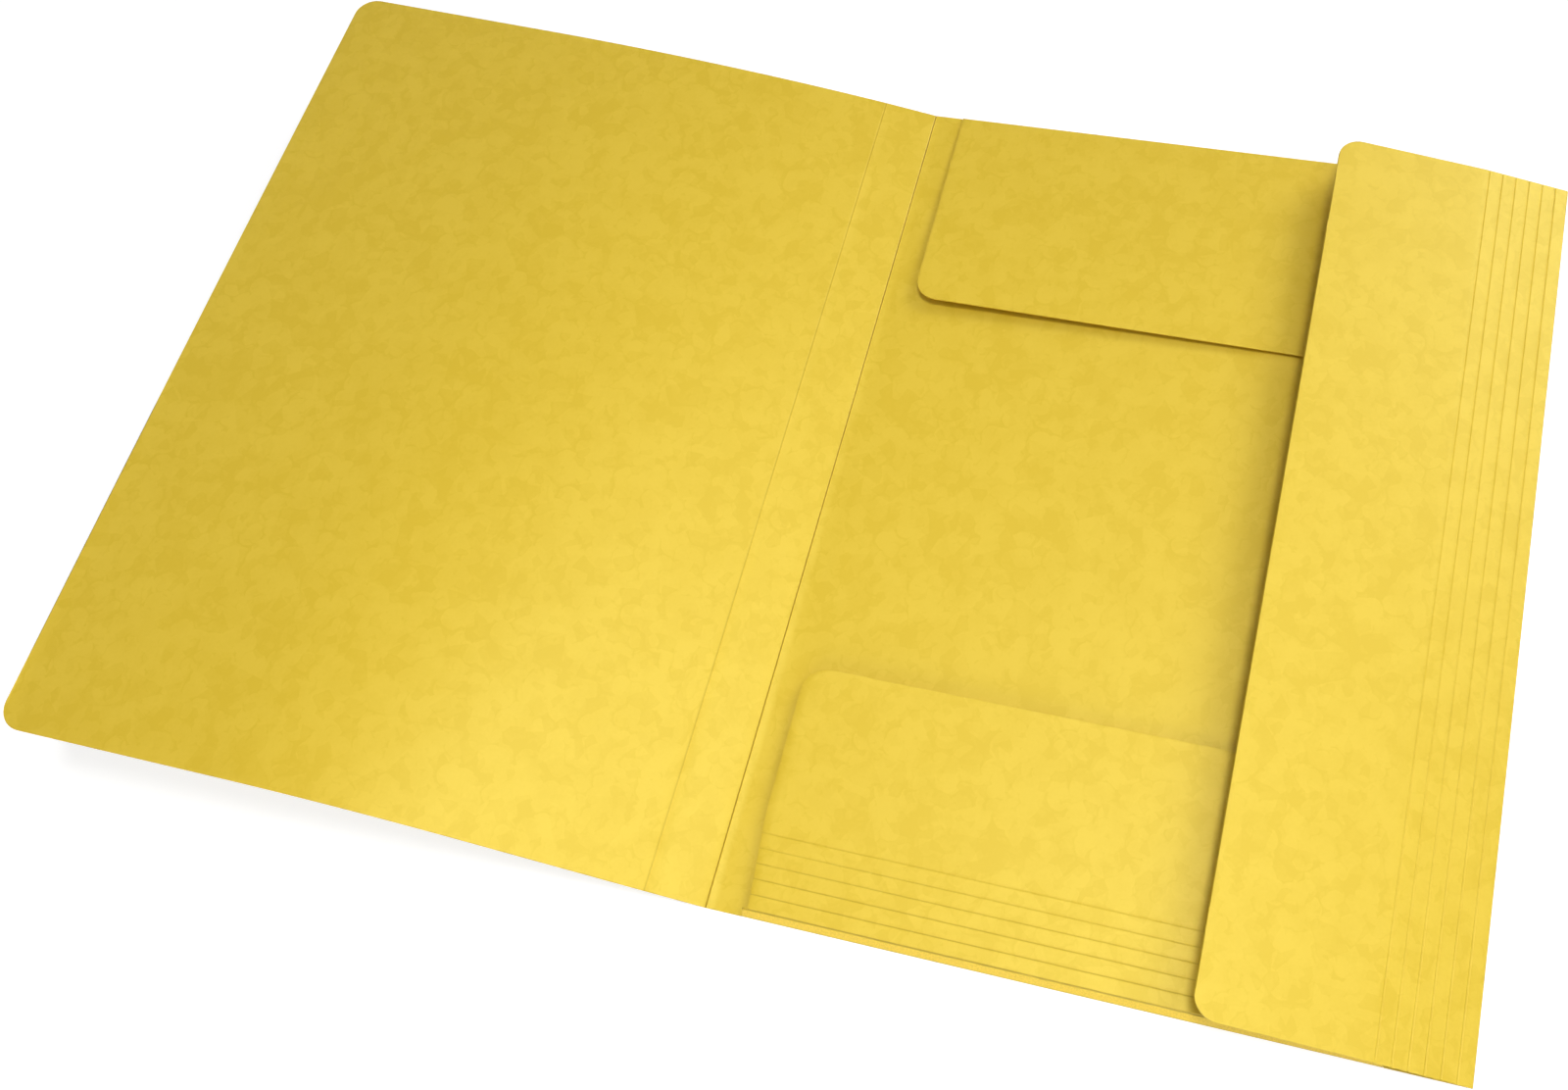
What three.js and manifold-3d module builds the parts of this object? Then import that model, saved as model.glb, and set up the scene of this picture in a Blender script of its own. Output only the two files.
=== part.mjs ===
// Three flap folder for A4 sheets, in millimetres, +Z up, +Y towards the top flap.
// One sheet of pressed card, cut, scored and folded: the back panel lies flat, the cover is open
// to the left, and the bottom, top and side flaps are folded in over the panel.
import * as THREE from "three";
import { mergeVertices } from "three/addons/utils/BufferGeometryUtils.js";
import Module from "manifold-3d";

const wasm = await Module();
wasm.setup();

// The sheet
const cardThickness = 0.5;
const panelWidth = 240; // from the inner spine crease to the side flap's fold
const panelHeight = 320; // from the bottom flap's fold to the top flap's fold

// The cover and the spine strip that carries it
const spineWidth = 20.5; // between the two spine creases
const coverWidth = 222.3; // from the outer spine crease to the free edge
const coverEdgeBow = 1; // how far the middle of the free edge stands out
const coverCornerRadius = 8.5;

// How the open cover lifts at its bottom end: degrees above the floor, and lengths of card
const spineLiftBottom = 19.5;
const coverLiftBottom = 21; // just past the outer crease
const coverLeanBottom = 1; // at the free edge
const coverCurveStartBottom = 62; // straight card before it curves over
const coverCurveLengthBottom = 78; // card that curves from lift to lean

// The same at its top end, which lies lower, so that the cover is twisted a little
const spineLiftTop = 11.8;
const coverLiftTop = 10.7;
const coverLeanTop = 4.9;
const coverCurveStartTop = 3;
const coverCurveLengthTop = 140;

// Side flap
const sideFlapWidth = 84.5;
const sideFlapCornerRadius = 8;
const sideFlapRise = 12.3; // degrees above the panel, over the scored strip
const sideFlapLean = 9; // degrees, past the last score
const sideFlapFirstScore = 4.4; // from the fold to the middle of the nearest score

// Bottom flap
const bottomFlapDepth = 88; // from its fold to its free edge
const bottomFlapInset = 11.9; // from the inner spine crease to its near edge
const bottomWallWidth = 4; // the strip between the fold and the first score
const bottomWallAngle = 54; // degrees, how steeply that strip stands
const bottomWallInset = 0.8; // how far the strip draws in
const bottomFlapShoulder = 2.7; // how far the flap draws in just past its first score
const bottomShoulderLength = 0.4; // card over which the shoulder is cut
const bottomFlapLeanNear = 0.6; // degrees above the panel, past the first score, spine side
const bottomFlapLeanFar = -0.8; // and on the side flap's side
const ridgeDepth = 0.2; // of the first score, which is bent over

// Top flap
const topFlapDepth = 87;
const topFlapInset = 11.1;
const topFlapTaper = 0.9; // how much narrower each side is at the free edge
const topFlapLeanNear = 2.3; // degrees above the panel, spine side
const topFlapLeanFar = 0.3; // and on the side flap's side

// What the bottom flap and the top flap share
const innerFlapFarInset = 25; // from the side flap's fold, clear of the side flap above
const innerFlapCornerRadius = 8.5;
const rootFilletRadius = 2.5; // where a flap's edge runs into the panel's
const flapTongue = 12; // how far a flap's card is carried into the panel's

// Folds and scores
const foldRadius = 0.6; // outside of a folded edge
const creaseWidth = 1.2; // of a spine crease, across the line
const creaseDepth = 0.12;
const scorePitch = 5;
const scoreCount = 6;
const scoreWidth = 0.9;
const scoreDepth = 0.14;

// Facets
const foldSteps = 7;
const ridgeSteps = 4;
const creaseSteps = 4;
const cornerSteps = 6;
const curveSteps = 9;
const coverColumns = 6;
const innerFlapColumns = 3;

const { degToRad, lerp, clamp } = THREE.MathUtils;

// A profile is the path of the sheet's outer face, seen end on. It starts flat, heads along u and
// turns up towards w, with the card's thickness on its left. It is a list of these segments.
function straight(length, steps = 1) {
  return { length, turn: 0, steps, depth: 0, bead: 0 };
}

function arc(degrees, length, steps) {
  return { length, turn: degToRad(degrees), steps, depth: 0, bead: 0 };
}

function fold(degrees, radius = foldRadius, steps = foldSteps) {
  return arc(degrees, degToRad(degrees) * radius, steps);
}

// A score is pressed into the outer face and raises a bead on the inner face.
function score() {
  return { length: scoreWidth, turn: 0, steps: 2, depth: scoreDepth, bead: scoreDepth };
}

// The bottom flap's first score is deeper, and the card is bent over along it.
function ridge(degrees) {
  return { length: scoreWidth, turn: degToRad(degrees), steps: ridgeSteps, depth: ridgeDepth, bead: 0 };
}

// A spine crease is a line pressed into the inner face, where the card turns a little.
function crease(degrees) {
  return { length: creaseWidth, turn: degToRad(degrees), steps: creaseSteps, depth: 0, bead: -creaseDepth };
}

// Scores at an even pitch, each with the plain card that comes before it.
function scoreRun(count, firstGap) {
  const run = [];
  for (let i = 0; i < count; i += 1) {
    run.push(straight(i === 0 ? firstGap : scorePitch - scoreWidth));
    run.push(score());
  }
  return run;
}

// The last stretch before a free edge, with stations where the rounded corners need them.
function cornerRun(radius) {
  const run = [];
  for (let i = 1; i <= cornerSteps; i += 1) {
    const angle = (step) => (Math.PI / 2) * (step / cornerSteps);
    run.push(straight(radius * (Math.sin(angle(i)) - Math.sin(angle(i - 1)))));
  }
  return run;
}

function lengthOf(segments) {
  return segments.reduce((sum, segment) => sum + segment.length, 0);
}

// How far a rounded corner or a root fillet stands in from the side, this far from its end.
function roundInset(distance, radius) {
  const reach = clamp(radius - distance, 0, radius);
  return radius - Math.sqrt(radius * radius - reach * reach);
}

// How far the middle of a bowed free edge stands out, at a share of the way along it.
function bowAt(share, bow) {
  return bow * 4 * share * (1 - share);
}

// One column of stations: the outer and inner point at each, and the distance run so far.
function columnOf(segments, start = 0) {
  const column = [];
  let u = start;
  let w = 0;
  let heading = 0;
  let run = 0;
  const station = (depth, bead) => {
    const side = { u: -Math.sin(heading), w: Math.cos(heading) };
    const pointAt = (offset) => ({ u: u + side.u * offset, w: w + side.w * offset });
    column.push({ run, outer: pointAt(depth), inner: pointAt(cardThickness + bead) });
  };
  station(0, 0);
  for (const segment of segments) {
    const step = segment.length / segment.steps;
    const halfTurn = segment.turn / segment.steps / 2;
    for (let i = 1; i <= segment.steps; i += 1) {
      heading += halfTurn;
      u += step * Math.cos(heading);
      w += step * Math.sin(heading);
      heading += halfTurn;
      run += step;
      const dent = Math.sin((Math.PI * i) / segment.steps);
      station(segment.depth * dent, segment.bead * dent);
    }
  }
  return column;
}

// A solid for joining, turned so that its faces point out.
function solidOf(geometry) {
  const merged = mergeVertices(geometry, 1e-4);
  const vertProperties = merged.attributes.position.array;
  const triVerts = Uint32Array.from(merged.index.array);
  const solid = new wasm.Manifold(new wasm.Mesh({ numProp: 3, vertProperties, triVerts }));
  if (solid.volume() > 0) {
    return solid;
  }
  triVerts.reverse();
  return new wasm.Manifold(new wasm.Mesh({ numProp: 3, vertProperties, triVerts }));
}

// The closed sheet between columns that have the same stations. A column is a list of stations,
// each with its outer and inner corner as x, y, z.
function sheetSolid(columns) {
  const positions = [];
  const quad = (a, b, c, d) => positions.push(...a, ...b, ...c, ...a, ...c, ...d);
  const lastColumn = columns.length - 1;
  const lastRow = columns[0].length - 1;
  for (let row = 0; row < lastRow; row += 1) {
    for (let column = 0; column < lastColumn; column += 1) {
      const [here, next] = [columns[column], columns[column + 1]];
      quad(here[row].outer, next[row].outer, next[row + 1].outer, here[row + 1].outer);
      quad(here[row].inner, here[row + 1].inner, next[row + 1].inner, next[row].inner);
    }
    const [first, last] = [columns[0], columns[lastColumn]];
    quad(first[row].outer, first[row + 1].outer, first[row + 1].inner, first[row].inner);
    quad(last[row].outer, last[row].inner, last[row + 1].inner, last[row + 1].outer);
  }
  for (let column = 0; column < lastColumn; column += 1) {
    const [here, next] = [columns[column], columns[column + 1]];
    quad(here[0].outer, here[0].inner, next[0].inner, next[0].outer);
    quad(here[lastRow].outer, next[lastRow].outer, next[lastRow].inner, here[lastRow].inner);
  }
  const geometry = new THREE.BufferGeometry();
  geometry.setAttribute("position", new THREE.Float32BufferAttribute(positions, 3));
  return solidOf(geometry);
}

// Shares of the way across a sheet, from 0 to 1.
function sharesOf(count) {
  return Array.from({ length: count + 1 }, (_, i) => i / count);
}

// The spine strip and the cover, heading left from the inner crease.
function coverSegments(share) {
  const spineLift = lerp(spineLiftBottom, spineLiftTop, share);
  const coverLift = lerp(coverLiftBottom, coverLiftTop, share);
  const coverLean = lerp(coverLeanBottom, coverLeanTop, share);
  const curve = [
    straight(lerp(coverCurveStartBottom, coverCurveStartTop, share) - creaseWidth / 2, 2),
    arc(coverLean - coverLift, lerp(coverCurveLengthBottom, coverCurveLengthTop, share), curveSteps),
  ];
  const end = cornerRun(coverCornerRadius);
  const rest = coverWidth + bowAt(share, coverEdgeBow) - creaseWidth / 2 - lengthOf(curve) - lengthOf(end);
  return [
    crease(spineLift),
    straight(spineWidth - creaseWidth, 2),
    crease(coverLift - spineLift),
    ...curve,
    straight(rest, 2),
    ...end,
  ];
}

// The back panel, the fold and the scored side flap, heading right from the inner crease.
function sideFlapSegments() {
  const scores = scoreRun(scoreCount, sideFlapFirstScore - scoreWidth / 2);
  const end = cornerRun(sideFlapCornerRadius);
  return [
    straight(panelWidth - foldRadius - creaseWidth / 2, 3),
    fold(180 - sideFlapRise),
    ...scores,
    arc(sideFlapRise - sideFlapLean, scoreWidth, 2),
    straight(sideFlapWidth - lengthOf(scores) - scoreWidth - lengthOf(end), 3),
    ...end,
  ];
}

// Cover, spine, back panel and side flap are one long band, made of columns that run along X.
// Both halves start where the panel meets the inner crease, which is centred on x = 0.
function band() {
  const columns = sharesOf(coverColumns).map((share) => {
    const stationsOf = (segments, direction, radius) => {
      const total = lengthOf(segments);
      return columnOf(segments, (direction * creaseWidth) / 2).map(({ run, outer, inner }) => {
        const inset = roundInset(total - run, radius);
        const y = lerp(inset, panelHeight - inset, share);
        const place = (point) => [direction * point.u, y, point.w];
        return { outer: place(outer), inner: place(inner) };
      });
    };
    const left = stationsOf(coverSegments(share), -1, coverCornerRadius);
    const right = stationsOf(sideFlapSegments(), 1, sideFlapCornerRadius);
    return [...left.reverse(), ...right.slice(1)];
  });
  return sheetSolid(columns);
}

// What the panel's edge gives up to a flap's fold, so that the fold is flush with the cut edge
// beside it.
function foldNotch(edgeY, nearInset) {
  const width = panelWidth - innerFlapFarInset - nearInset;
  const box = new THREE.BoxGeometry(width, 2 * foldRadius, 4 * cardThickness);
  box.deleteAttribute("normal");
  box.deleteAttribute("uv");
  box.translate(nearInset + width / 2, edgeY, cardThickness);
  return solidOf(box);
}

// A flap that folds in over the panel's top edge, with towards 1, or its bottom edge, with -1. It
// is made of columns that run along Y. drawInAt narrows it on the way to its free edge.
function innerFlap(segmentsAt, edgeY, towards, nearInset, drawInAt) {
  const startY = edgeY - towards * foldRadius;
  const columns = sharesOf(innerFlapColumns).map((share) => {
    const segments = segmentsAt(share);
    const total = lengthOf(segments);
    return columnOf(segments, -flapTongue).map(({ run, outer, inner }) => {
      const corner = roundInset(total - run, innerFlapCornerRadius);
      const root = roundInset(Math.max(run - flapTongue, 0), rootFilletRadius);
      const inset = corner - root + drawInAt(run - flapTongue);
      const x = lerp(nearInset + inset, panelWidth - innerFlapFarInset - inset, share);
      const place = (point) => [x, startY + towards * point.u, point.w];
      return { outer: place(outer), inner: place(inner) };
    });
  });
  return sheetSolid(columns);
}

// Its root lies almost flat on the panel, and its free edge stands a little higher.
function topFlap() {
  const end = cornerRun(innerFlapCornerRadius);
  const root = sharesOf(cornerSteps).slice(1).map(() => straight(rootFilletRadius / cornerSteps));
  const segmentsAt = (share) => {
    const turn = fold(180 - lerp(topFlapLeanNear, topFlapLeanFar, share));
    const rest = topFlapDepth - lengthOf([turn, ...root, ...end]);
    return [straight(flapTongue), turn, ...root, straight(rest, 4), ...end];
  };
  const drawInAt = (run) => (topFlapTaper * clamp(run, 0, topFlapDepth)) / topFlapDepth;
  return innerFlap(segmentsAt, panelHeight, 1, topFlapInset, drawInAt);
}

// Its first strip stands up as a low wall; the rest turns over at the first score and lies level.
function bottomFlap() {
  const end = cornerRun(innerFlapCornerRadius);
  const turn = fold(180 - bottomWallAngle);
  const wall = straight(bottomWallWidth - (turn.length + scoreWidth) / 2, 3);
  const shoulder = straight(bottomShoulderLength);
  const scores = scoreRun(scoreCount - 1, scorePitch - scoreWidth - bottomShoulderLength);
  const segmentsAt = (share) => {
    const bend = ridge(bottomWallAngle - lerp(bottomFlapLeanNear, bottomFlapLeanFar, share));
    const strip = [turn, wall, bend, shoulder, ...scores];
    const rest = bottomFlapDepth - lengthOf([...strip, ...end]);
    return [straight(flapTongue), ...strip, straight(rest, 4), ...end];
  };
  const shoulderStart = lengthOf([turn, wall]) + scoreWidth;
  const drawInAt = (run) => {
    const step = clamp((run - shoulderStart) / bottomShoulderLength, 0, 1);
    const past = clamp((run - shoulderStart) / (scorePitch * scoreCount), 0, 1);
    return lerp(bottomWallInset, bottomFlapShoulder * (1 - past), step);
  };
  return innerFlap(segmentsAt, 0, -1, bottomFlapInset, drawInAt);
}

// The whole sheet, with its origin on the floor under the middle of its outline.
function folderGeometry() {
  const notches = foldNotch(panelHeight, topFlapInset).add(foldNotch(0, bottomFlapInset));
  const sheet = band().subtract(notches).add(topFlap()).add(bottomFlap()).getMesh();
  const geometry = new THREE.BufferGeometry();
  geometry.setAttribute("position", new THREE.Float32BufferAttribute(sheet.vertProperties, 3));
  geometry.setIndex(Array.from(sheet.triVerts));
  geometry.computeBoundingBox();
  const middle = geometry.boundingBox.getCenter(new THREE.Vector3());
  geometry.translate(-middle.x, -middle.y, 0);
  geometry.computeVertexNormals();
  return geometry;
}

const yellowCard = new THREE.MeshStandardMaterial({ color: 0xe9c957, roughness: 0.62, metalness: 0 });
const folder = new THREE.Mesh(folderGeometry(), yellowCard);
folder.name = "folder_sheet";

const model = new THREE.Group();
model.name = "three_flap_folder";
model.add(folder);

export default model;
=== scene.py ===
import math

import bpy
import numpy as np
from mathutils import Matrix, Vector


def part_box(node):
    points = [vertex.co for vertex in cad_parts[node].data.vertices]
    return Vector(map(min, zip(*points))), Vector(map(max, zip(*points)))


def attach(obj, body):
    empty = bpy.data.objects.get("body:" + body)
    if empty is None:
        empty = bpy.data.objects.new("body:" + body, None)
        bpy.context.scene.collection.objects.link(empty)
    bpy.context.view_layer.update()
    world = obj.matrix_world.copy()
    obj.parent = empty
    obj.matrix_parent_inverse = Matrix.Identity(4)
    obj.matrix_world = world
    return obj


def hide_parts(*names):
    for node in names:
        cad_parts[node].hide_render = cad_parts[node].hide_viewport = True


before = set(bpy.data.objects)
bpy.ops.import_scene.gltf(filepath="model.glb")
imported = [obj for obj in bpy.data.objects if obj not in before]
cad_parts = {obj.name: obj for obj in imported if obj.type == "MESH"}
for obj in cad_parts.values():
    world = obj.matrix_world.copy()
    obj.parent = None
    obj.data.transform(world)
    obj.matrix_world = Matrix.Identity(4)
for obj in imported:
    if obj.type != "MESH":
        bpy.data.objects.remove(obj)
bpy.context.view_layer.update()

mm = 0.001  # the sizes below are in millimetres, the scene is in metres

# The folder as it was packed: its right-hand fold and its bottom edge place everything else
cadLow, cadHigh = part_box("folder_sheet")

card = {
    "thickness": 0.5,
    "panelWidth": 240.0,  # inner spine crease to the side flap's fold
    "foldRadius": 0.6,  # outside of a folded edge
    "foldSteps": 14,
    "cutEdgeRound": 0.1,  # softening of the cut edges
    "cutEdgeSteps": 2,
    "cutEdgeAngle": 58.0,  # degrees: only the cut edges are this sharp
    "edgeSupport": 0.5,  # first line of vertices inside a cut edge
    "acrossStep": 3.6,  # mesh spacing from the bottom edge to the top edge
    "alongStep": 3.2,  # mesh spacing from the cover to the side flap
    "joinReach": 0.002,  # vertices as near as this become one
    "faceShift": 60.0,  # sets the mottle of the two faces apart
}

scoreLine = {
    "span": 2.4,  # card that one pressed line shapes
    "steps": 16,
    "gapSteps": 2,
    "grooveWidth": 0.19,
    "rimPlace": 0.45,
    "rimWidth": 0.2,
    "rimHeight": 0.03,
    "beadShare": 0.8,  # how much of a groove stands out on the other face
    "pitch": 5.0,
    "count": 6,
}

spine = {
    "width": 20.5,  # between the two creases
    "creaseWidth": 1.2,
    "creaseSteps": 18,
    "linePlace": 0.12,  # from the middle of the crease, towards the cover
    "lineWidth": 0.26,
    "rimPlace": 0.42,  # from the middle, towards the panel
    "rimWidth": 0.16,
    # Each crease has a line of painted shade and a rim of painted light, besides its pressed depth and
    # rim
    "innerCrease": {"depth": 0.2, "rim": 0.09, "paintedShading": 1.15, "paintedLight": 1.1},
    "outerCrease": {"depth": 0.08, "rim": 0.06, "paintedShading": 0.4, "paintedLight": 0.4},
}

cover = {  # lifts and lean in degrees
    "width": 222.3,
    "edgeBow": 1.0,  # how much wider it is half-way up
    "cornerRadius": 8.5,
    "flatSteps": 14,
    "curveSteps": 34,
    "outerSteps": 24,
    "bottom": {"spineLift": 19.5, "lift": 21.0, "lean": 1.0, "curveStart": 62.0, "curveLength": 78.0},
    "top": {"spineLift": 11.8, "lift": 10.7, "lean": 4.9, "curveStart": 3.0, "curveLength": 140.0},
}

sideFlap = {
    "width": 84.5,
    "cornerRadius": 8.0,
    "rise": 12.3,  # degrees above the panel over the scored strip
    "lean": 9.0,  # degrees past it
    "easeLength": 1.2,  # card over which the rise becomes the lean
    "easeSteps": 3,
    "firstScore": 4.4,
    "scoreDepth": 0.16,
    "scorePaintedShade": (0.2, 0.14),  # how much painted shade the first and the last line get
}

innerFlaps = {
    "farInset": 25.0,
    "cornerRadius": 8.5,
    "notchStep": 0.3,  # length over which the panel's edge steps in beside a flap's fold
    "notchSlack": 0.000001,  # keeps the stations at a notch's two ends in it
}

topFlap = {"depth": 87.0, "inset": 11.1, "taper": 0.9, "leanNear": 2.3, "leanFar": 0.3}

bottomFlap = {
    "depth": 88.0,
    "inset": 11.9,
    "wallWidth": 4.0,
    "wallAngle": 54.0,
    "wallInset": 0.8,
    "wallSteps": 10,
    "wallPaintedLight": -1.0,  # painted light: the wall is painted paler all over
    "shoulder": 2.7,
    "shoulderLength": 0.4,
    "shoulderSteps": 2,
    "leanNear": 0.6,
    "leanFar": -0.8,
    "ridgeWidth": 0.9,
    "ridgeDepth": 0.2,
    "ridgeSteps": 12,
    "ridgeShadePower": 0.8,  # under 1, the painted shade line is wider than the pressed one
    "scoreDepth": 0.1,
    # painted shade in the first and the last score line
    "scorePaintedShade": (0.6, 0.2),
}

panelWidth = card["panelWidth"]
panelHeight = (cadHigh.y - cadLow.y) / mm
creaseX = cadHigh.x / mm - panelWidth  # the inner crease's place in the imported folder
bottomY = cadLow.y / mm


def mix(a, b, share):
    return a + (b - a) * share


# A profile is a list of stretches of card: length, turn in radians, steps, and how far the outer
# and the inner face are pressed in at each step
def plain(length, steps=1):
    return {"length": length, "turn": 0.0, "steps": steps}


def bend(degrees, length, steps):
    return {"length": length, "turn": math.radians(degrees), "steps": steps}


def foldOver(degrees):
    turn = math.radians(degrees)
    return {"length": turn * card["foldRadius"], "turn": turn, "steps": card["foldSteps"]}


def spread(length, step):
    return plain(length, max(1, round(length / step)))


def pressedLine(depth, paintedShading):  # a groove with a low rim on each side, a bead behind it, and painted shade in the groove
    reach = np.linspace(-0.5, 0.5, scoreLine["steps"] + 1)[1:] * scoreLine["span"]
    groove = np.exp(-((reach / scoreLine["grooveWidth"]) ** 2))
    rim = np.exp(-(((np.abs(reach) - scoreLine["rimPlace"]) / scoreLine["rimWidth"]) ** 2))
    fade = np.cos(np.pi * reach / scoreLine["span"]) ** 0.5
    shape = (groove * depth - rim * scoreLine["rimHeight"]) * fade
    bead = groove * depth * scoreLine["beadShare"]
    stretch = plain(scoreLine["span"], scoreLine["steps"])
    return stretch | {"press": shape, "bead": bead, "paintedShading": groove * fade * paintedShading}


def scoreRun(flap, count, firstGap):
    run = []
    for index in range(count):
        gap = firstGap if index == 0 else scoreLine["pitch"]
        gap -= scoreLine["span"] * (0.5 if index == 0 else 1.0)
        run.append(plain(gap, scoreLine["gapSteps"]))
        run.append(pressedLine(flap["scoreDepth"], mix(*flap["scorePaintedShade"], index / (count - 1))))
    return run


def cornerRun(radius, steps=10):
    angles = np.linspace(0.0, math.pi / 2, steps + 1)
    return [plain(radius * (math.sin(b) - math.sin(a))) for a, b in zip(angles, angles[1:])]


def lengthOf(stretches):
    return sum(stretch["length"] for stretch in stretches)


# Walks along the card and returns, at each station, the distance run, the outer and inner points
# and the painted shading there: painted shade above zero, painted light below zero
def walk(stretches, start=0.0):
    run, along, up, heading = 0.0, start, 0.0, 0.0
    rows = []

    def station(press, bead, paintedShading):
        side = (-math.sin(heading), math.cos(heading))
        thick = card["thickness"] + bead
        rows.append((run, along + side[0] * press, up + side[1] * press,
                     along + side[0] * thick, up + side[1] * thick, paintedShading))

    station(0.0, 0.0, 0.0)
    for stretch in stretches:
        steps = stretch["steps"]
        step = stretch["length"] / steps
        halfTurn = stretch["turn"] / steps / 2
        none = np.zeros(steps)
        press, bead, paintedShading = (stretch.get(name, none) for name in ("press", "bead", "paintedShading"))
        for index in range(steps):
            heading += halfTurn
            along += step * math.cos(heading)
            up += step * math.sin(heading)
            heading += halfTurn
            run += step
            station(press[index], bead[index], paintedShading[index])
    return np.array(rows)


def roundInset(distance, radius):
    reach = np.clip(radius - distance, 0.0, radius)
    return radius - np.sqrt(radius * radius - reach * reach)


# Spine and cover, heading left from the inner crease. A crease is pressed into the upper face
def creaseBend(degrees, form):
    steps = spine["creaseSteps"]
    shares = np.arange(1, steps + 1) / steps
    reach = (shares - 0.5) * spine["creaseWidth"]
    fade = np.sin(np.pi * shares) ** 0.5
    line = np.exp(-(((reach - spine["linePlace"]) / spine["lineWidth"]) ** 2)) * fade
    rim = np.exp(-(((reach + spine["rimPlace"]) / spine["rimWidth"]) ** 2)) * fade
    bead = rim * form["rim"] - line * form["depth"]
    # Painted shade along the crease's line, and painted light on its rim
    paintedShading = line * form["paintedShading"] - rim * form["paintedLight"]
    return bend(degrees, spine["creaseWidth"], steps) | {"bead": bead, "paintedShading": paintedShading}


def coverStretches(share):
    form = {name: mix(cover["bottom"][name], cover["top"][name], share) for name in cover["top"]}
    half = spine["creaseWidth"] / 2
    curve = [
        plain(form["curveStart"] - half, cover["flatSteps"]),
        bend(form["lean"] - form["lift"], form["curveLength"], cover["curveSteps"]),
    ]
    corner = cornerRun(cover["cornerRadius"])
    width = cover["width"] + cover["edgeBow"] * 4 * share * (1 - share)
    return [
        creaseBend(form["spineLift"], spine["innerCrease"]),
        spread(spine["width"] - 2 * half, card["alongStep"]),
        creaseBend(form["lift"] - form["spineLift"], spine["outerCrease"]),
        *curve,
        plain(width - half - lengthOf(curve) - lengthOf(corner), cover["outerSteps"]),
        *corner,
    ]


# The stretch of the panel's edge that a top or bottom flap starts from
def notchOf(flap):
    rootInset = flap.get("wallInset", 0.0)
    return flap["inset"] + rootInset, panelWidth - innerFlaps["farInset"] - rootInset


def inNotch(flap, start, end):
    near, far = notchOf(flap)
    return (start > near - innerFlaps["notchSlack"]) & (end < far + innerFlaps["notchSlack"])


# Back panel, fold and side flap, heading right. The panel's stations include where the top and
# bottom flaps start and end
def panelStretches():
    start = spine["creaseWidth"] / 2
    end = panelWidth - card["foldRadius"]
    stops = {start, end}
    for flap in (topFlap, bottomFlap):
        near, far = notchOf(flap)
        stops |= {near - innerFlaps["notchStep"], near, far, far + innerFlaps["notchStep"]}
    stops = sorted(stops)
    return [spread(b - a, card["alongStep"]) for a, b in zip(stops, stops[1:])]


def sideFlapStretches():
    scores = scoreRun(sideFlap, scoreLine["count"], sideFlap["firstScore"])
    easing = bend(sideFlap["rise"] - sideFlap["lean"], sideFlap["easeLength"], sideFlap["easeSteps"])
    corner = cornerRun(sideFlap["cornerRadius"])
    rest = sideFlap["width"] - lengthOf(scores) - easing["length"] - lengthOf(corner)
    return [
        *panelStretches(),
        foldOver(180 - sideFlap["rise"]),
        *scores,
        easing,
        spread(rest, card["alongStep"]),
        *corner,
    ]


# Mesh parts: a grid of stations (rows) by columns, closed by its two faces and its cut edges
sheetMesh = {"points": [], "flat": [], "paintedShading": [], "faces": [], "isEdge": [], "count": 0}


def addGrid(outer, inner, flatOuter, paintedShading, openFirstRow=False, openSides=(None, None)):
    rows, columns = outer.shape[:2]
    base = sheetMesh["count"]
    flatInner = flatOuter + np.array([0.0, 0.0, card["faceShift"]])
    sheetMesh["points"] += [outer.reshape(-1, 3), inner.reshape(-1, 3)]
    sheetMesh["flat"] += [flatOuter.reshape(-1, 3), flatInner.reshape(-1, 3)]
    sheetMesh["paintedShading"] += [paintedShading.ravel(), paintedShading.ravel()]
    sheetMesh["count"] += 2 * rows * columns
    front = base + np.arange(rows * columns).reshape(rows, columns)
    back = front + rows * columns

    def quads(a, b, c, d, isEdge):
        faces = np.stack([a.ravel(), b.ravel(), c.ravel(), d.ravel()], axis=1)
        sheetMesh["faces"].append(faces)
        sheetMesh["isEdge"].append(np.full(len(faces), isEdge))

    quads(front[:-1, :-1], front[:-1, 1:], front[1:, 1:], front[1:, :-1], False)
    quads(back[:-1, :-1], back[1:, :-1], back[1:, 1:], back[:-1, 1:], False)
    for column, closed, turned in ((0, openSides[0], False), (columns - 1, openSides[1], True)):
        keep = np.ones(rows - 1, bool) if closed is None else ~closed
        a, b = front[:-1, column][keep], front[1:, column][keep]
        c, d = back[1:, column][keep], back[:-1, column][keep]
        if turned:
            quads(b, a, d, c, True)
        else:
            quads(a, b, c, d, True)
    if not openFirstRow:
        quads(front[0, 1:], front[0, :-1], back[0, :-1], back[0, 1:], True)
    quads(front[-1, :-1], front[-1, 1:], back[-1, 1:], back[-1, :-1], True)


def acrossShares():
    support = card["edgeSupport"] / panelHeight
    count = round(panelHeight / card["acrossStep"])
    return np.concatenate([[0.0], np.linspace(support, 1 - support, count), [1.0]])


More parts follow.
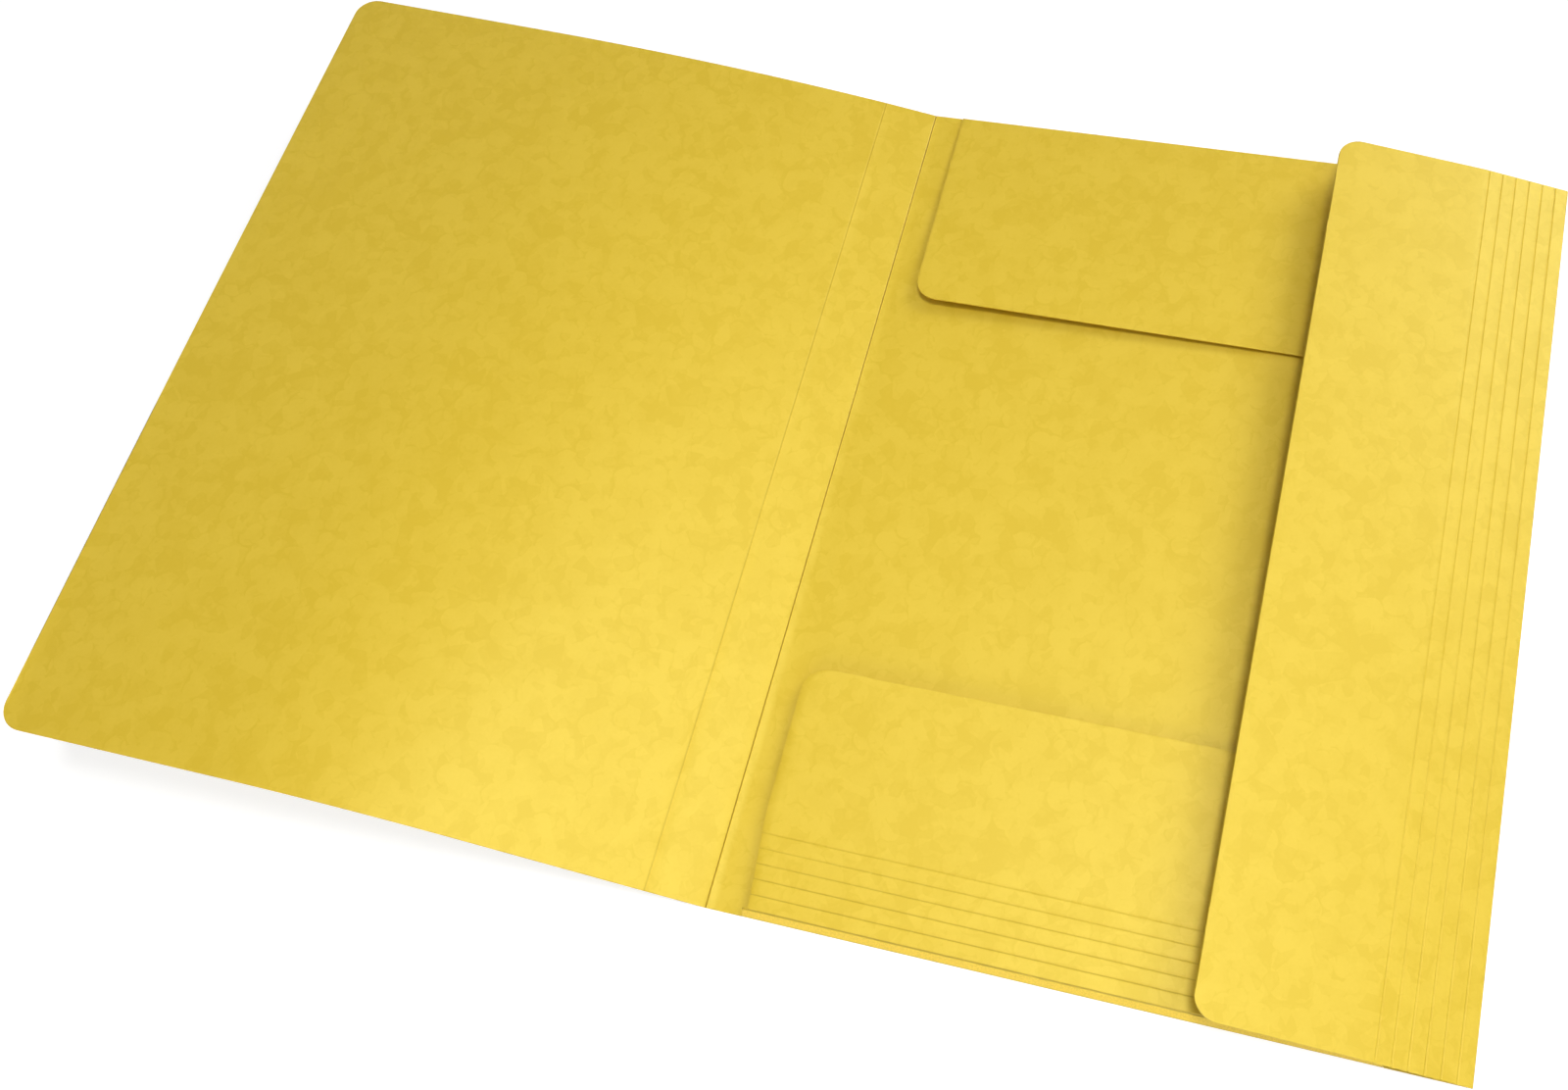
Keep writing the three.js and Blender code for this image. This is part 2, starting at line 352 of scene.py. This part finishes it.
# Cover, spine, panel and side flap: the band of card from the left edge to the right edge
def addBand():
    half = spine["creaseWidth"] / 2
    right = sideFlapStretches()
    rightWalk = walk(right, half)
    rightX = half + rightWalk[:, 0]
    low = roundInset(lengthOf(right) - rightWalk[:, 0], sideFlap["cornerRadius"])
    high = low.copy()
    low[inNotch(bottomFlap, rightX, rightX)] = card["foldRadius"]
    high[inNotch(topFlap, rightX, rightX)] = card["foldRadius"]
    columns = []
    for share in acrossShares():
        left = coverStretches(share)
        leftWalk = walk(left, -half)
        leftWalk[:, [1, 3]] *= -1
        leftInset = roundInset(lengthOf(left) - leftWalk[:, 0], cover["cornerRadius"])
        flatX = np.concatenate([half - leftWalk[::-1, 0], rightX[1:]])
        stations = np.concatenate([leftWalk[::-1], rightWalk[1:]])
        fromBottom = np.concatenate([leftInset[::-1], low[1:]])
        fromTop = np.concatenate([leftInset[::-1], high[1:]])
        y = mix(fromBottom, panelHeight - fromTop, share)
        outer = np.stack([stations[:, 1], y, stations[:, 2]], axis=1)
        inner = np.stack([stations[:, 3], y, stations[:, 4]], axis=1)
        flat = np.stack([flatX, y, np.zeros(len(y))], axis=1)
        columns.append((outer, inner, flat, stations[:, 5]))
    outer, inner, flat, paintedShading = (np.stack(part, axis=1) for part in zip(*columns))
    bandX = flat[:, 0, 0]
    openSides = [inNotch(flap, bandX[:-1], bandX[1:]) for flap in (bottomFlap, topFlap)]
    addGrid(outer, inner, flat, paintedShading, openSides=openSides)
    return bandX


def addInnerFlap(flap, stretchesAt, drawInAt, towards, panelStations):
    near, far = notchOf(flap)
    rootStations = panelStations[inNotch(flap, panelStations, panelStations)]
    startY = panelHeight - card["foldRadius"] if towards > 0 else card["foldRadius"]
    columns = []
    for share in (rootStations - near) / (far - near):
        stretches = stretchesAt(share)
        stations = walk(stretches)
        run = stations[:, 0]
        corner = roundInset(lengthOf(stretches) - run, innerFlaps["cornerRadius"])
        inset = corner + drawInAt(run)
        x = mix(flap["inset"] + inset, panelWidth - innerFlaps["farInset"] - inset, share)
        outer = np.stack([x, startY + towards * stations[:, 1], stations[:, 2]], axis=1)
        inner = np.stack([x, startY + towards * stations[:, 3], stations[:, 4]], axis=1)
        flat = np.stack([x, startY + towards * run, np.zeros(len(run))], axis=1)
        columns.append((outer, inner, flat, stations[:, 5]))
    outer, inner, flat, paintedShading = (np.stack(part, axis=1) for part in zip(*columns))
    if towards > 0:  # keep every face pointing out of the card
        outer, inner, flat, paintedShading = (part[:, ::-1] for part in (outer, inner, flat, paintedShading))
    addGrid(outer, inner, flat, paintedShading, openFirstRow=True)


def addTopFlap(panelStations):
    corner = cornerRun(innerFlaps["cornerRadius"])

    def stretchesAt(share):
        turn = foldOver(180 - mix(topFlap["leanNear"], topFlap["leanFar"], share))
        rest = topFlap["depth"] - lengthOf([turn, *corner])
        return [turn, spread(rest, card["acrossStep"]), *corner]

    def drawInAt(run):
        return topFlap["taper"] * np.clip(run / topFlap["depth"], 0.0, 1.0)

    addInnerFlap(topFlap, stretchesAt, drawInAt, 1, panelStations)


def ridgeBend(degrees):
    steps = bottomFlap["ridgeSteps"]
    shape = np.sin(np.pi * np.arange(1, steps + 1) / steps) ** 2
    press = shape * bottomFlap["ridgeDepth"]
    # Painted shade along the ridge
    paintedShading = shape ** bottomFlap["ridgeShadePower"]
    return bend(degrees, bottomFlap["ridgeWidth"], steps) | {"press": press, "paintedShading": paintedShading}


# The bottom flap rises in a wall strip up to a ridge, and its scores follow the ridge
def addBottomFlap(panelStations):
    corner = cornerRun(innerFlaps["cornerRadius"])
    turn = foldOver(180 - bottomFlap["wallAngle"])
    ridgeWidth = bottomFlap["ridgeWidth"]
    wall = plain(bottomFlap["wallWidth"] - (turn["length"] + ridgeWidth) / 2, bottomFlap["wallSteps"])
    # Painted light over the whole wall
    wall["paintedShading"] = np.full(wall["steps"], bottomFlap["wallPaintedLight"])
    shoulder = plain(bottomFlap["shoulderLength"], bottomFlap["shoulderSteps"])
    shoulderStart = wall["length"] + turn["length"] + ridgeWidth
    firstGap = scoreLine["pitch"] - ridgeWidth / 2 - shoulder["length"]
    scores = scoreRun(bottomFlap, scoreLine["count"] - 1, firstGap)

    def stretchesAt(share):
        lean = mix(bottomFlap["leanNear"], bottomFlap["leanFar"], share)
        strip = [turn, wall, ridgeBend(bottomFlap["wallAngle"] - lean), shoulder, *scores]
        rest = bottomFlap["depth"] - lengthOf([*strip, *corner])
        return [*strip, spread(rest, card["acrossStep"]), *corner]

    def drawInAt(run):
        step = np.clip((run - shoulderStart) / bottomFlap["shoulderLength"], 0.0, 1.0)
        past = np.clip((run - shoulderStart) / (scoreLine["pitch"] * scoreLine["count"]), 0.0, 1.0)
        return mix(bottomFlap["wallInset"], bottomFlap["shoulder"] * (1 - past), step)

    addInnerFlap(bottomFlap, stretchesAt, drawInAt, -1, panelStations)


def buildSheet():
    panelStations = addBand()
    addTopFlap(panelStations)
    addBottomFlap(panelStations)
    points = np.concatenate(sheetMesh["points"]) + np.array([creaseX, bottomY, 0.0])
    faces = np.concatenate(sheetMesh["faces"])
    mesh = bpy.data.meshes.new("pressboard_sheet")
    mesh.from_pydata((points * mm).tolist(), [], faces.tolist())
    mesh.polygons.foreach_set("material_index", np.concatenate(sheetMesh["isEdge"]).astype(np.int32))
    flat = mesh.attributes.new("flatCard", "FLOAT_VECTOR", "POINT")
    flat.data.foreach_set("vector", (np.concatenate(sheetMesh["flat"]) * mm).astype(np.float32).ravel())
    # Painted shading: painted shade above zero, painted light below zero
    paintedShading = mesh.attributes.new("paintedShadeAndLight", "FLOAT", "POINT")
    paintedShading.data.foreach_set("value", np.concatenate(sheetMesh["paintedShading"]).astype(np.float32))
    mesh.validate()
    mesh.update()
    sheet = bpy.data.objects.new("pressboard_sheet", mesh)
    bpy.context.scene.collection.objects.link(sheet)
    joinAndSoften(sheet)
    keepInPackedBox(sheet)
    return sheet


def joinAndSoften(sheet):
    bpy.context.view_layer.objects.active = sheet
    sheet.select_set(True)
    join = sheet.modifiers.new("join flaps", "WELD")
    join.merge_threshold = card["joinReach"] * mm
    soften = sheet.modifiers.new("soft cut edges", "BEVEL")
    soften.width = card["cutEdgeRound"] * mm
    soften.segments = card["cutEdgeSteps"]
    soften.limit_method = "ANGLE"
    soften.angle_limit = math.radians(card["cutEdgeAngle"])
    soften.use_clamp_overlap = False
    soften.material = 1
    bpy.ops.object.modifier_apply(modifier=join.name)
    bpy.ops.object.modifier_apply(modifier=soften.name)
    sheet.data.polygons.foreach_set("use_smooth", [True] * len(sheet.data.polygons))
    sheet.select_set(False)


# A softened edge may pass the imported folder's box by a hair, and is brought back to it
def keepInPackedBox(sheet):
    places = np.empty(len(sheet.data.vertices) * 3, np.float32)
    sheet.data.vertices.foreach_get("co", places)
    places = np.clip(places.reshape(-1, 3), np.array(cadLow), np.array(cadHigh))
    sheet.data.vertices.foreach_set("co", places.astype(np.float32).ravel())
    sheet.data.update()


folderSheet = buildSheet()
print("sheet:", len(folderSheet.data.polygons), "faces")


# Materials
def newMaterial(name):
    material = bpy.data.materials.new(name)
    material.use_nodes = True
    return material, material.node_tree.nodes, material.node_tree.links


def addNode(nodes, kind, **settings):
    node = nodes.new(kind)
    for name, value in settings.items():
        if name in node.inputs:
            node.inputs[name].default_value = value
        else:
            setattr(node, name, value)
    return node


def noiseNode(nodes, links, place, settings):
    node = addNode(nodes, "ShaderNodeTexNoise", **settings)
    links.new(place, node.inputs["Vector"])
    return node


def mathNode(nodes, links, operation, first, second, clamp=False):
    node = addNode(nodes, "ShaderNodeMath", operation=operation, use_clamp=clamp)
    for socket, value in zip(node.inputs, (first, second)):
        if isinstance(value, (int, float)):
            socket.default_value = value
        else:
            links.new(value, socket)
    return node.outputs[0]


def rampNode(nodes, links, value, low, high, outLow=0.0, outHigh=1.0):
    node = addNode(nodes, "ShaderNodeMapRange", interpolation_type="SMOOTHSTEP")
    for name, number in (("From Min", low), ("From Max", high), ("To Min", outLow), ("To Max", outHigh)):
        node.inputs[name].default_value = number
    links.new(value, node.inputs["Value"])
    return node.outputs["Result"]


def mixColor(nodes, links, factor, first, second):
    node = addNode(nodes, "ShaderNodeMix", data_type="RGBA")
    sockets = node.inputs[0], node.inputs[6], node.inputs[7]  # the factor and the two colours
    for socket, value in zip(sockets, (factor, first, second)):
        if isinstance(value, (int, float, tuple)):
            socket.default_value = value
        else:
            links.new(value, socket)
    return node.outputs[2]


pressboard = {
    "light": (0.686, 0.475, 0.034, 1),
    "dark": (0.63, 0.426, 0.02, 1),
    # Painted shade in the crease, score and ridge lines
    "paintedShadeColor": (0.3, 0.18, 0.005, 1),
    "paintedShadeShare": 0.85,
    # Painted light on the crease rims and the bottom flap's wall
    "paintedLightColor": (0.93, 0.62, 0.06, 1),
    "roughness": 0.49,
    "specularLevel": 0.95,
    "specularTint": (1.0, 0.98, 0.4, 1),
    "flakes": [  # size across in millimetres, how dark the gaps and the darkest flakes are
        {"size": 5.6, "gap": 0.75, "dark": 0.55},
        {"size": 3.4, "gap": 0.5, "dark": 0.5},
        {"size": 9.5, "gap": 0.4, "dark": 0.4},
    ],
    "gapEdges": (0.67, 0.73),  # from a flake's middle, in flake sizes
    "palestGap": 0.3,  # share of the darkest
    "darkFlakes": (0.74, 0.98),  # share of the flakes that stay light, and share below the darkest
    "layerShift": (0.37, 0.61, 0.23),  # metres from one layer of flakes to the next
    "warp": 0.0014,  # metres that a flake's outline wanders
    "warpNoise": {"Scale": 260.0, "Detail": 1.0},
    "startTone": 0.2,  # 0 is the light colour, 1 the dark one
    "cloudNoise": {"Scale": 90.0, "Detail": 4.0, "Roughness": 0.6},
    "cloudTone": (0.35, 0.65, -0.24, 0.24),  # from and to in the noise, then in the tone
    "fineNoise": {"Scale": 900.0, "Detail": 3.0, "Roughness": 0.6},
    "fineTone": (0.3, 0.7, -0.1, 0.1),
    # Speckles the painted light
    "lightSpeckleNoise": {"Scale": 1600.0, "Detail": 2.0, "Roughness": 0.7},
    "paintedLightShare": (0.3, 0.65, -0.35, -1.0),  # below zero, because painted light is stored as painted shading below zero
    "bump": {"Strength": 0.12, "Distance": 0.0002},
}


# One layer of flakes: the card is darker in the gaps between them, and a few flakes are dark
def flakeLayer(nodes, links, place, form, index):
    shift = addNode(nodes, "ShaderNodeVectorMath", operation="ADD")
    shift.inputs[1].default_value = [index * step for step in pressboard["layerShift"]]
    links.new(place, shift.inputs[0])
    warp = noiseNode(nodes, links, shift.outputs[0], pressboard["warpNoise"])
    pull = addNode(nodes, "ShaderNodeVectorMath", operation="MULTIPLY_ADD")
    pull.inputs[1].default_value = (pressboard["warp"], pressboard["warp"], 0.0)
    links.new(warp.outputs["Color"], pull.inputs[0])
    links.new(shift.outputs[0], pull.inputs[2])
    perMetre = 1.0 / (form["size"] * mm)
    cells = addNode(nodes, "ShaderNodeTexVoronoi", feature="F1", voronoi_dimensions="2D", Scale=perMetre)
    links.new(pull.outputs[0], cells.inputs["Vector"])
    chance = addNode(nodes, "ShaderNodeSeparateColor")
    links.new(cells.outputs["Color"], chance.inputs["Color"])
    gap = rampNode(nodes, links, cells.outputs["Distance"], *pressboard["gapEdges"])
    palest = form["gap"] * pressboard["palestGap"]
    depth = rampNode(nodes, links, chance.outputs["Red"], 0.0, 1.0, palest, form["gap"])
    flake = rampNode(nodes, links, chance.outputs["Green"], *pressboard["darkFlakes"], 0.0, form["dark"])
    return mathNode(nodes, links, "ADD", mathNode(nodes, links, "MULTIPLY", gap, depth), flake)


def makePressboard():
    material, nodes, links = newMaterial("yellow_pressboard")
    shader = nodes["Principled BSDF"]
    shader.inputs["Roughness"].default_value = pressboard["roughness"]
    shader.inputs["Specular IOR Level"].default_value = pressboard["specularLevel"]
    shader.inputs["Specular Tint"].default_value = pressboard["specularTint"]
    place = addNode(nodes, "ShaderNodeAttribute", attribute_name="flatCard").outputs["Vector"]
    paintedShadeAndLight = addNode(nodes, "ShaderNodeAttribute", attribute_name="paintedShadeAndLight").outputs["Fac"]
    cloud = noiseNode(nodes, links, place, pressboard["cloudNoise"]).outputs["Fac"]
    fine = noiseNode(nodes, links, place, pressboard["fineNoise"]).outputs["Fac"]
    lightSpeckle = noiseNode(nodes, links, place, pressboard["lightSpeckleNoise"]).outputs["Fac"]

    tone = pressboard["startTone"]
    for index, form in enumerate(pressboard["flakes"]):
        tone = mathNode(nodes, links, "ADD", flakeLayer(nodes, links, place, form, index), tone)
    cloudPart = rampNode(nodes, links, cloud, *pressboard["cloudTone"])
    finePart = rampNode(nodes, links, fine, *pressboard["fineTone"])
    tone = mathNode(nodes, links, "ADD", tone, cloudPart)
    tone = mathNode(nodes, links, "ADD", tone, finePart, clamp=True)
    base = mixColor(nodes, links, tone, pressboard["light"], pressboard["dark"])

    # Painted shade darkens the pressed lines, and speckled painted light makes the crease rims and the
    # bottom flap's wall paler
    paintedShadePart = mathNode(nodes, links, "MULTIPLY", paintedShadeAndLight, pressboard["paintedShadeShare"], clamp=True)
    base = mixColor(nodes, links, paintedShadePart, base, pressboard["paintedShadeColor"])
    paintedLight = rampNode(nodes, links, lightSpeckle, *pressboard["paintedLightShare"])
    paintedLightPart = mathNode(nodes, links, "MULTIPLY", paintedShadeAndLight, paintedLight, clamp=True)
    base = mixColor(nodes, links, paintedLightPart, base, pressboard["paintedLightColor"])
    links.new(base, shader.inputs["Base Color"])

    bump = addNode(nodes, "ShaderNodeBump", **pressboard["bump"])
    links.new(fine, bump.inputs["Height"])
    links.new(bump.outputs["Normal"], shader.inputs["Normal"])
    return material


cutEdge = {
    "pale": (0.9, 0.72, 0.22, 1),
    "deep": (0.7, 0.47, 0.06, 1),
    "roughness": 0.8,
    "fibreNoise": {"Scale": 1500.0, "Detail": 3.0},
    "fibreEdges": (0.3, 0.7),
}


def makeCutEdge():
    material, nodes, links = newMaterial("pressboard_cut_edge")
    shader = nodes["Principled BSDF"]
    shader.inputs["Roughness"].default_value = cutEdge["roughness"]
    where = addNode(nodes, "ShaderNodeTexCoord")
    fibre = noiseNode(nodes, links, where.outputs["Object"], cutEdge["fibreNoise"])
    tone = rampNode(nodes, links, fibre.outputs["Fac"], *cutEdge["fibreEdges"])
    links.new(mixColor(nodes, links, tone, cutEdge["deep"], cutEdge["pale"]), shader.inputs["Base Color"])
    return material


folderSheet.data.materials.clear()
folderSheet.data.materials.append(makePressboard())
folderSheet.data.materials.append(makeCutEdge())
print("materials: pressboard and its cut edge")

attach(folderSheet, "root")
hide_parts("folder_sheet")


# Floor, camera and light, all in metres
white = (1.0, 1.0, 1.0, 1)

studio = {
    "floorSize": 6.0,
    "floorDrop": 0.0002,
    "floorColor": (0.5, 0.5, 0.5, 1),
    "floorGlow": (0.72, 1.0),  # near the folder, and out where the lamps don't reach
    "floorGlowReach": (0.35, 0.75),  # distances over which it changes
    "worldStrength": 0.13,
}

lamps = {  # power in watts, spread in degrees
    "back_light": {"place": (1.08, 1.13, 0.9), "size": 0.9, "power": 15.6},
    "front_light": {"place": (0.15, -1.3, 0.5), "size": 1.0, "power": 8.0},
    "side_light": {"place": (0.8, -0.3, 1.5), "size": 1.2, "power": 4.1},
    "middle_light": {
        "place": (0.3, 0.0, 1.8),
        "aim": (0.072, -0.184, 0.0),
        "size": 0.5,
        "power": 1.22,
        "spread": 46.0,
    },
}


# 1 where the camera, a reflection or something seen through looks at the surface, 0 elsewhere
def seenDirectly(nodes, links):
    ray = nodes.new("ShaderNodeLightPath")
    seen = mathNode(nodes, links, "MAXIMUM", ray.outputs["Is Camera Ray"], ray.outputs["Is Glossy Ray"])
    return mathNode(nodes, links, "MAXIMUM", seen, ray.outputs["Is Transmission Ray"])


def makeFloor():
    half = studio["floorSize"] / 2
    z = cadLow.z - studio["floorDrop"]
    corners = [(-half, -half, z), (half, -half, z), (half, half, z), (-half, half, z)]
    mesh = bpy.data.meshes.new("studio_floor")
    mesh.from_pydata(corners, [], [(0, 1, 2, 3)])
    floor = bpy.data.objects.new("studio_floor", mesh)
    bpy.context.scene.collection.objects.link(floor)
    material, nodes, links = newMaterial("studio_floor")
    shader = nodes["Principled BSDF"]
    shader.inputs["Base Color"].default_value = studio["floorColor"]
    shader.inputs["Roughness"].default_value = 1.0
    shader.inputs["Specular IOR Level"].default_value = 0.0
    shader.inputs["Emission Color"].default_value = white
    where = addNode(nodes, "ShaderNodeTexCoord")
    away = addNode(nodes, "ShaderNodeVectorMath", operation="LENGTH")
    links.new(where.outputs["Object"], away.inputs[0])
    glow = rampNode(nodes, links, away.outputs["Value"], *studio["floorGlowReach"], *studio["floorGlow"])
    glow = mathNode(nodes, links, "MULTIPLY", seenDirectly(nodes, links), glow)
    links.new(glow, shader.inputs["Emission Strength"])
    mesh.materials.append(material)


def makeWorld():
    world = bpy.data.worlds.new("studio")
    world.use_nodes = True
    nodes, links = world.node_tree.nodes, world.node_tree.links
    sky = nodes["Background"]
    sky.inputs["Color"].default_value = white
    level = rampNode(nodes, links, seenDirectly(nodes, links), 0.0, 1.0, studio["worldStrength"], 1.0)
    links.new(level, sky.inputs["Strength"])
    bpy.context.scene.world = world


# A lamp that isn't aimed looks at the middle of the folder
def makeLamp(name, form):
    lamp = bpy.data.lights.new(name, "AREA")
    lamp.shape = "DISK"
    lamp.size = form["size"]
    lamp.energy = form["power"]
    lamp.spread = math.radians(form.get("spread", 180.0))
    light = bpy.data.objects.new(name, lamp)
    light.location = form["place"]
    heading = Vector(form.get("aim", (0.0, 0.0, 0.0))) - Vector(form["place"])
    light.rotation_euler = heading.to_track_quat("-Z", "Y").to_euler()
    bpy.context.scene.collection.objects.link(light)


# The photograph's view, worked out from the folder's own straight lines
view = {
    "place": (142.09, -47.96, 467.47),  # millimetres from the inner crease's bottom end
    "right": (0.96513, 0.23562, -0.11403),
    "forward": (-0.19181, 0.34018, -0.92059),
    "focalPixels": 1490.8,
    "centrePixels": (948.15, 594.0),
    "framePixels": (1600, 1112),
    "sensorWidth": 36.0,
}


def makeCamera():
    width, height = view["framePixels"]
    lens = bpy.data.cameras.new("photo_view")
    lens.sensor_width = view["sensorWidth"]
    lens.lens = view["focalPixels"] / width * lens.sensor_width
    lens.shift_x = (width / 2 - view["centrePixels"][0]) / width
    lens.shift_y = (view["centrePixels"][1] - height / 2) / width
    camera = bpy.data.objects.new("photo_view", lens)
    back = -Vector(view["forward"]).normalized()
    right = Vector(view["right"]).normalized()
    up = back.cross(right).normalized()
    turn = Matrix((right, up, back)).transposed().to_4x4()
    place = (Vector(view["place"]) + Vector((creaseX, bottomY, 0.0))) * mm
    camera.matrix_world = Matrix.Translation(place) @ turn
    bpy.context.scene.collection.objects.link(camera)
    bpy.context.scene.camera = camera


makeFloor()
makeWorld()
for lampName, lampForm in lamps.items():
    makeLamp(lampName, lampForm)
makeCamera()
bpy.context.scene.view_settings.view_transform = "Standard"
print("studio: floor, light and camera")
